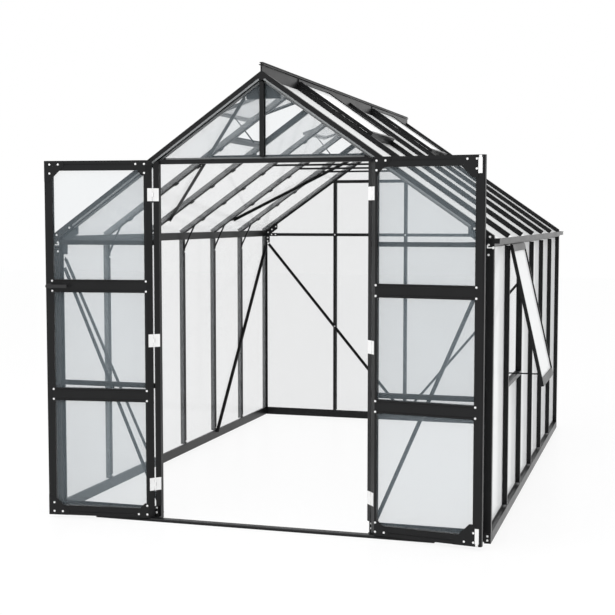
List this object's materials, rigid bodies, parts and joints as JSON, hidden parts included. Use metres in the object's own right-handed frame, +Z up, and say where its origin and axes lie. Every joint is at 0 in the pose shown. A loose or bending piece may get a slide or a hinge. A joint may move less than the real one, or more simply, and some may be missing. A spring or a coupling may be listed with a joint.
{
  "type": "glass greenhouse",
  "caption": "Gable-roofed greenhouse of black aluminium bars and clear glass, with double hinged doors, roof vents and a top-hung side window.",
  "frame": {"origin": "middle of the threshold's underside, in front of the doorway", "axes": "+Z up, +Y into the house from the doorway, +X to the right as seen from outside the doors"},
  "size_m": [2.7789, 3.977, 2.5624],
  "materials": {
    "frame_coat": "satin black powder coat",
    "glass": "clear float glass",
    "white_plastic": "smooth white",
    "black_plastic": "satin black"
  },
  "bodies": {
    "house": {"threshold": "frame_coat", "base_rails": "frame_coat", "corner_posts": "frame_coat", "corner_brackets": "frame_coat", "door_posts": "frame_coat", "post_feet": "frame_coat", "left_wall_bars": "frame_coat", "right_wall_bars": "frame_coat", "rear_posts": "frame_coat", "front_crossbars": "frame_coat", "rear_crossbars": "frame_coat", "lintel": "frame_coat", "gable_bar": "frame_coat", "eaves_beams": "frame_coat", "gutters": "frame_coat", "gable_rafters": "frame_coat", "ridge": "frame_coat", "left_roof_bars": "frame_coat", "right_roof_bars": "frame_coat", "vent_sills": "frame_coat", "window_sill": "frame_coat", "collar_ties": "frame_coat", "knee_braces": "frame_coat", "wall_braces": "frame_coat", "gable_braces": "frame_coat", "roof_braces": "frame_coat", "apex_plates": "frame_coat", "eaves_plates": "frame_coat", "left_vents": "frame_coat", "right_vents": "frame_coat", "vent_stays": "frame_coat", "side_window": "frame_coat", "window_stay": "frame_coat", "front_glass": "glass", "rear_glass": "glass", "left_wall_glass": "glass", "right_wall_glass": "glass", "left_roof_glass": "glass", "right_roof_glass": "glass", "left_vent_glass": "glass", "right_vent_glass": "glass", "side_window_glass": "glass", "gutter_outlets": "white_plastic", "post_hinges": "white_plastic"},
    "left_door": {"left_door_stiles": "frame_coat", "left_door_rails": "frame_coat", "left_door_plates": "frame_coat", "left_door_glass": "glass", "left_door_hinges": "white_plastic", "door_handles": "black_plastic"},
    "right_door": {"right_door_stiles": "frame_coat", "right_door_rails": "frame_coat", "right_door_plates": "frame_coat", "right_door_glass": "glass", "right_door_hinges": "white_plastic", "edge_strip": "frame_coat", "flush_bolts": "white_plastic"}
  },
  "joints": [
    {"name": "left_door_swing", "type": "hinge", "parent": "house", "child": "left_door", "pos_m": [-0.628, 0.014, 1], "axis": [0, 0, -1], "range_deg": [-172.5, 0]},
    {"name": "right_door_swing", "type": "hinge", "parent": "house", "child": "right_door", "pos_m": [0.628, 0.014, 1], "axis": [0, 0, 1], "range_deg": [-172.5, 0]}
  ]
}
